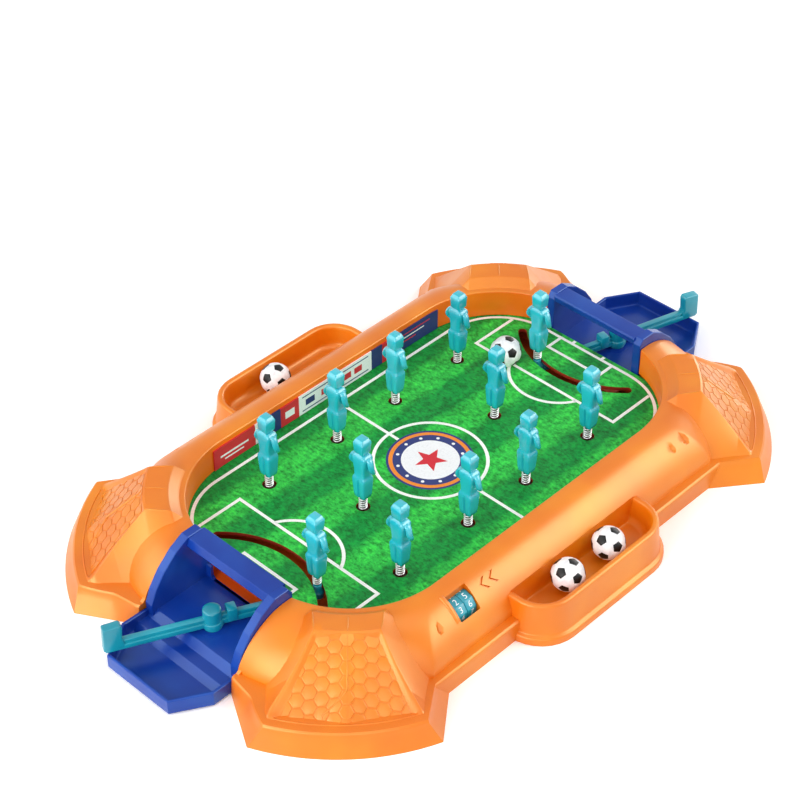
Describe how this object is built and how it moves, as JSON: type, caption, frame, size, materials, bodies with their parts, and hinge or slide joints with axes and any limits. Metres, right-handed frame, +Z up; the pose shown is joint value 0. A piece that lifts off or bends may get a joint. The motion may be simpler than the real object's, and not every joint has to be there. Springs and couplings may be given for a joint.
{
  "type": "tabletop football game",
  "caption": "Tabletop finger football with sprung players in a green pitch, a moulded surround with ball trays, goals with catch trays and keepers on hand levers.",
  "frame": {"origin": "on the table under the middle of the pitch", "axes": "+X along the pitch towards the right-hand goal, +Y towards the far long side, +Z up"},
  "size_m": [0.484, 0.301, 0.0786],
  "materials": {
    "orange_plastic": "smooth moulded, bright orange",
    "base_plastic": "moulded, deep orange",
    "pitch_print": "printed sheet, green stripes and white lines",
    "board_print": "printed strip, red, white and navy",
    "blue_plastic": "smooth moulded, royal blue",
    "teal_plastic": "smooth moulded, turquoise",
    "spring_steel": "bright drawn wire and plated screws",
    "ball_plastic": "smooth, white with black patches"
  },
  "bodies": {
    "game": {"top_shell": "orange_plastic", "base_plate": "base_plastic", "pitch_board": "pitch_print", "far_board": "board_print", "near_board": "board_print", "left_goal": "blue_plastic", "right_goal": "blue_plastic", "left_pivot_screw": "spring_steel", "right_pivot_screw": "spring_steel", "score_axle": "spring_steel", "base_screw_1": "spring_steel", "base_screw_2": "spring_steel", "base_screw_3": "spring_steel", "base_screw_4": "spring_steel", "base_screw_5": "spring_steel", "base_screw_6": "spring_steel", "base_screw_7": "spring_steel", "base_screw_8": "spring_steel", "man_spring_1": "spring_steel", "man_spring_2": "spring_steel", "man_spring_3": "spring_steel", "man_spring_4": "spring_steel", "man_spring_5": "spring_steel", "man_spring_6": "spring_steel", "man_spring_7": "spring_steel", "man_spring_8": "spring_steel", "man_spring_9": "spring_steel", "man_spring_10": "spring_steel"},
    "man_1": {"man_1": "teal_plastic"},
    "man_2": {"man_2": "teal_plastic"},
    "man_3": {"man_3": "teal_plastic"},
    "man_4": {"man_4": "teal_plastic"},
    "man_5": {"man_5": "teal_plastic"},
    "man_6": {"man_6": "teal_plastic"},
    "man_7": {"man_7": "teal_plastic"},
    "man_8": {"man_8": "teal_plastic"},
    "man_9": {"man_9": "teal_plastic"},
    "man_10": {"man_10": "teal_plastic"},
    "left_lever": {"left_keeper_lever": "teal_plastic", "left_keeper_spring": "spring_steel"},
    "left_keeper": {"left_keeper": "teal_plastic"},
    "right_lever": {"right_keeper_lever": "teal_plastic", "right_keeper_spring": "spring_steel"},
    "right_keeper": {"right_keeper": "teal_plastic"},
    "score_wheel_1": {"score_wheel_1": "teal_plastic"},
    "score_wheel_2": {"score_wheel_2": "teal_plastic"},
    "ball_1": {"ball_1": "ball_plastic"},
    "ball_2": {"ball_2": "ball_plastic"},
    "ball_3": {"ball_3": "ball_plastic"},
    "ball_4": {"ball_4": "ball_plastic"}
  },
  "joints": [
    {"name": "man_1_tilt", "type": "hinge", "parent": "game", "child": "man_1", "pos_m": [-0.0855, -0.056, 0.02585], "axis": [0, 1, 0], "range_deg": [-22, 22], "stiffness_Nm_per_rad": 0.04, "deforming": ["man_spring_1"]},
    {"name": "man_2_tilt", "type": "hinge", "parent": "game", "child": "man_2", "pos_m": [-0.0264, -0.056, 0.02585], "axis": [0, 1, 0], "range_deg": [-22, 22], "stiffness_Nm_per_rad": 0.04, "deforming": ["man_spring_2"]},
    {"name": "man_3_tilt", "type": "hinge", "parent": "game", "child": "man_3", "pos_m": [0.0264, -0.056, 0.02585], "axis": [0, 1, 0], "range_deg": [-22, 22], "stiffness_Nm_per_rad": 0.04, "deforming": ["man_spring_3"]},
    {"name": "man_4_tilt", "type": "hinge", "parent": "game", "child": "man_4", "pos_m": [0.0855, -0.056, 0.02585], "axis": [0, 1, 0], "range_deg": [-22, 22], "stiffness_Nm_per_rad": 0.04, "deforming": ["man_spring_4"]},
    {"name": "man_5_tilt", "type": "hinge", "parent": "game", "child": "man_5", "pos_m": [-0.0599, 0, 0.02585], "axis": [0, 1, 0], "range_deg": [-22, 22], "stiffness_Nm_per_rad": 0.04, "deforming": ["man_spring_5"]},
    {"name": "man_6_tilt", "type": "hinge", "parent": "game", "child": "man_6", "pos_m": [0.0599, 0, 0.02585], "axis": [0, 1, 0], "range_deg": [-22, 22], "stiffness_Nm_per_rad": 0.04, "deforming": ["man_spring_6"]},
    {"name": "man_7_tilt", "type": "hinge", "parent": "game", "child": "man_7", "pos_m": [-0.0855, 0.056, 0.02585], "axis": [0, 1, 0], "range_deg": [-22, 22], "stiffness_Nm_per_rad": 0.04, "deforming": ["man_spring_7"]},
    {"name": "man_8_tilt", "type": "hinge", "parent": "game", "child": "man_8", "pos_m": [-0.0264, 0.056, 0.02585], "axis": [0, 1, 0], "range_deg": [-22, 22], "stiffness_Nm_per_rad": 0.04, "deforming": ["man_spring_8"]},
    {"name": "man_9_tilt", "type": "hinge", "parent": "game", "child": "man_9", "pos_m": [0.0264, 0.056, 0.02585], "axis": [0, 1, 0], "range_deg": [-22, 22], "stiffness_Nm_per_rad": 0.04, "deforming": ["man_spring_9"]},
    {"name": "man_10_tilt", "type": "hinge", "parent": "game", "child": "man_10", "pos_m": [0.0855, 0.056, 0.02585], "axis": [0, 1, 0], "range_deg": [-22, 22], "stiffness_Nm_per_rad": 0.04, "deforming": ["man_spring_10"]},
    {"name": "left_lever_swing", "type": "hinge", "parent": "game", "child": "left_lever", "pos_m": [-0.184, 0, 0.016], "axis": [0, 0, 1], "range_deg": [-14, 66]},
    {"name": "left_keeper_tilt", "type": "hinge", "parent": "left_lever", "child": "left_keeper", "pos_m": [-0.12657, -0.02826, 0.02585], "axis": [0, 1, 0], "range_deg": [-20, 20], "stiffness_Nm_per_rad": 0.04, "deforming": ["left_keeper_spring"]},
    {"name": "right_lever_swing", "type": "hinge", "parent": "game", "child": "right_lever", "pos_m": [0.184, 0, 0.016], "axis": [0, 0, 1], "range_deg": [-23, 56]},
    {"name": "right_keeper_tilt", "type": "hinge", "parent": "right_lever", "child": "right_keeper", "pos_m": [0.12264, 0.01818, 0.02585], "axis": [0, 1, 0], "range_deg": [-20, 20], "stiffness_Nm_per_rad": 0.04, "deforming": ["right_keeper_spring"]},
    {"name": "score_wheel_1_turn", "type": "hinge", "parent": "game", "child": "score_wheel_1", "pos_m": [-0.0885, -0.1036, 0.0286], "axis": [1, 0, 0], "continuous": true},
    {"name": "score_wheel_2_turn", "type": "hinge", "parent": "game", "child": "score_wheel_2", "pos_m": [-0.0885, -0.1036, 0.0286], "axis": [1, 0, 0], "continuous": true},
    {"name": "ball_1_lift", "type": "slide", "parent": "game", "child": "ball_1", "axis": [0, 0, 1], "range_m": [0, 0.06]},
    {"name": "ball_2_lift", "type": "slide", "parent": "game", "child": "ball_2", "axis": [0, 0, 1], "range_m": [0, 0.06]},
    {"name": "ball_3_lift", "type": "slide", "parent": "game", "child": "ball_3", "axis": [0, 0, 1], "range_m": [0, 0.06]},
    {"name": "ball_4_lift", "type": "slide", "parent": "game", "child": "ball_4", "axis": [0, 0, 1], "range_m": [0, 0.06]}
  ]
}
